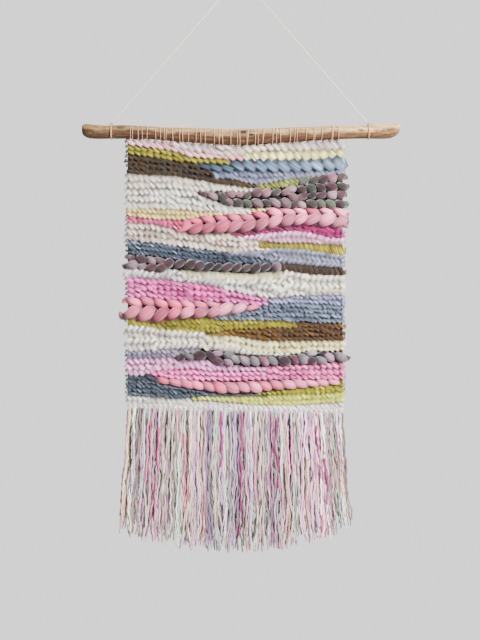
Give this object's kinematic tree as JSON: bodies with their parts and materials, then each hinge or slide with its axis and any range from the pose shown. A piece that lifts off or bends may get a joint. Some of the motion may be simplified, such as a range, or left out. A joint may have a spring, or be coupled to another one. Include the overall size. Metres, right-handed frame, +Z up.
{
  "type": "woven wall hanging",
  "caption": "Woven wool wall hanging: uneven colour bands of weft and thick roving over a fringe, looped onto a natural branch and hung by a string.",
  "frame": {"origin": "centre of the nail that the string passes over, at the top of the string triangle", "axes": "+Z up, X along the branch, the cloth hangs in the XZ plane with its front towards -Y"},
  "size_m": [0.397, 0.0224, 0.7202],
  "materials": {
    "blue_grey_line": "plied wool and cotton yarn, matte",
    "blue_top_band": "plied wool and cotton yarn, matte",
    "branch_wood": "weathered bare bark and grain",
    "bronze_band": "plied wool and cotton yarn, matte",
    "brown_rib_band": "plied wool and cotton yarn, matte",
    "chartreuse_band": "plied wool and cotton yarn, matte",
    "cream_braid_band": "plied wool and cotton yarn, matte",
    "cream_upper_band": "plied wool and cotton yarn, matte",
    "cream_yellow_band": "plied wool and cotton yarn, matte",
    "denim_band": "plied wool and cotton yarn, matte",
    "fringe_yarn": "plied wool and cotton yarn, matte",
    "string": "plied wool and cotton yarn, matte",
    "header_row": "plied wool and cotton yarn, matte",
    "hot_pink_low": "plied wool and cotton yarn, matte",
    "ivory_heather_band": "plied wool and cotton yarn, matte",
    "lilac_blue_band": "plied wool and cotton yarn, matte",
    "lilac_grey_band": "plied wool and cotton yarn, matte",
    "lilac_pink_band": "plied wool and cotton yarn, matte",
    "lilac_pink_low": "plied wool and cotton yarn, matte",
    "lilac_top_band": "plied wool and cotton yarn, matte",
    "lime_low_band": "plied wool and cotton yarn, matte",
    "lime_small_band": "plied wool and cotton yarn, matte",
    "lime_top_band": "plied wool and cotton yarn, matte",
    "magenta_band": "plied wool and cotton yarn, matte",
    "navy_mid_band": "plied wool and cotton yarn, matte",
    "olive_heather_band": "plied wool and cotton yarn, matte",
    "olive_lime_band": "plied wool and cotton yarn, matte",
    "olive_line_low": "plied wool and cotton yarn, matte",
    "pale_lime_band": "plied wool and cotton yarn, matte",
    "pale_lime_row": "plied wool and cotton yarn, matte",
    "pink_roving_mid": "unspun wool roving, soft and matte",
    "pink_roving_top": "unspun wool roving, soft and matte",
    "pink_top_band": "plied wool and cotton yarn, matte",
    "plum_roving_low": "unspun wool roving, soft and matte",
    "plum_roving_mid": "unspun wool roving, soft and matte",
    "plum_roving_top": "unspun wool roving, soft and matte",
    "rose_line": "plied wool and cotton yarn, matte",
    "rose_pink_band": "plied wool and cotton yarn, matte",
    "salmon_roving_low": "unspun wool roving, soft and matte",
    "teal_low_band": "plied wool and cotton yarn, matte",
    "warp_cotton": "plied wool and cotton yarn, matte",
    "white_lower_band": "plied wool and cotton yarn, matte",
    "white_mint_band": "plied wool and cotton yarn, matte",
    "white_top_row": "plied wool and cotton yarn, matte",
    "white_upper_band": "plied wool and cotton yarn, matte",
    "yellow_top_band": "plied wool and cotton yarn, matte"
  },
  "bodies": {
    "hanger": {"hanging_cord": "string", "left_tie": "string", "right_tie": "string"},
    "branch": {"branch": "branch_wood", "warp_loops": "warp_cotton"},
    "weaving": {"blue_grey_line": "blue_grey_line", "blue_top_band": "blue_top_band", "bronze_band": "bronze_band", "brown_rib_band": "brown_rib_band", "chartreuse_band": "chartreuse_band", "cream_braid_band": "cream_braid_band", "cream_upper_band": "cream_upper_band", "cream_yellow_band": "cream_yellow_band", "denim_band": "denim_band", "fringe_knots": "fringe_yarn", "header_row": "header_row", "hot_pink_low": "hot_pink_low", "ivory_heather_band": "ivory_heather_band", "lilac_blue_band": "lilac_blue_band", "lilac_grey_band": "lilac_grey_band", "lilac_pink_band": "lilac_pink_band", "lilac_pink_low": "lilac_pink_low", "lilac_top_band": "lilac_top_band", "lime_low_band": "lime_low_band", "lime_small_band": "lime_small_band", "lime_top_band": "lime_top_band", "magenta_band": "magenta_band", "navy_mid_band": "navy_mid_band", "olive_heather_band": "olive_heather_band", "olive_lime_band": "olive_lime_band", "olive_line_low": "olive_line_low", "pale_lime_band": "pale_lime_band", "pale_lime_row": "pale_lime_row", "pink_roving_mid": "pink_roving_mid", "pink_roving_top": "pink_roving_top", "pink_top_band": "pink_top_band", "plum_roving_low": "plum_roving_low", "plum_roving_mid": "plum_roving_mid", "plum_roving_top": "plum_roving_top", "rose_line": "rose_line", "rose_pink_band": "rose_pink_band", "salmon_roving_low": "salmon_roving_low", "teal_low_band": "teal_low_band", "warp_threads": "warp_cotton", "white_lower_band": "white_lower_band", "white_mint_band": "white_mint_band", "white_top_row": "white_top_row", "white_upper_band": "white_upper_band", "yellow_top_band": "yellow_top_band"},
    "fringe_1": {"fringe_1": "fringe_yarn"},
    "fringe_2": {"fringe_2": "fringe_yarn"},
    "fringe_3": {"fringe_3": "fringe_yarn"},
    "fringe_4": {"fringe_4": "fringe_yarn"},
    "fringe_5": {"fringe_5": "fringe_yarn"}
  },
  "joints": [
    {"name": "branch_roll", "type": "hinge", "parent": "hanger", "child": "branch", "pos_m": [0, 0, -0.19], "axis": [1, 0, 0], "range_deg": [-90, 90]},
    {"name": "cloth_swing", "type": "hinge", "parent": "branch", "child": "weaving", "pos_m": [0, 0, -0.207], "axis": [1, 0, 0], "range_deg": [-45, 45]},
    {"name": "fringe_1_swing", "type": "hinge", "parent": "weaving", "child": "fringe_1", "pos_m": [-0.1127, 0, -0.5366], "axis": [1, 0, 0], "range_deg": [-60, 60]},
    {"name": "fringe_2_swing", "type": "hinge", "parent": "weaving", "child": "fringe_2", "pos_m": [-0.0562, 0, -0.5388], "axis": [1, 0, 0], "range_deg": [-60, 60]},
    {"name": "fringe_3_swing", "type": "hinge", "parent": "weaving", "child": "fringe_3", "pos_m": [0.0003, 0, -0.5406], "axis": [1, 0, 0], "range_deg": [-60, 60]},
    {"name": "fringe_4_swing", "type": "hinge", "parent": "weaving", "child": "fringe_4", "pos_m": [0.0568, 0, -0.5419], "axis": [1, 0, 0], "range_deg": [-60, 60]},
    {"name": "fringe_5_swing", "type": "hinge", "parent": "weaving", "child": "fringe_5", "pos_m": [0.107, 0, -0.5429], "axis": [1, 0, 0], "range_deg": [-60, 60]}
  ]
}
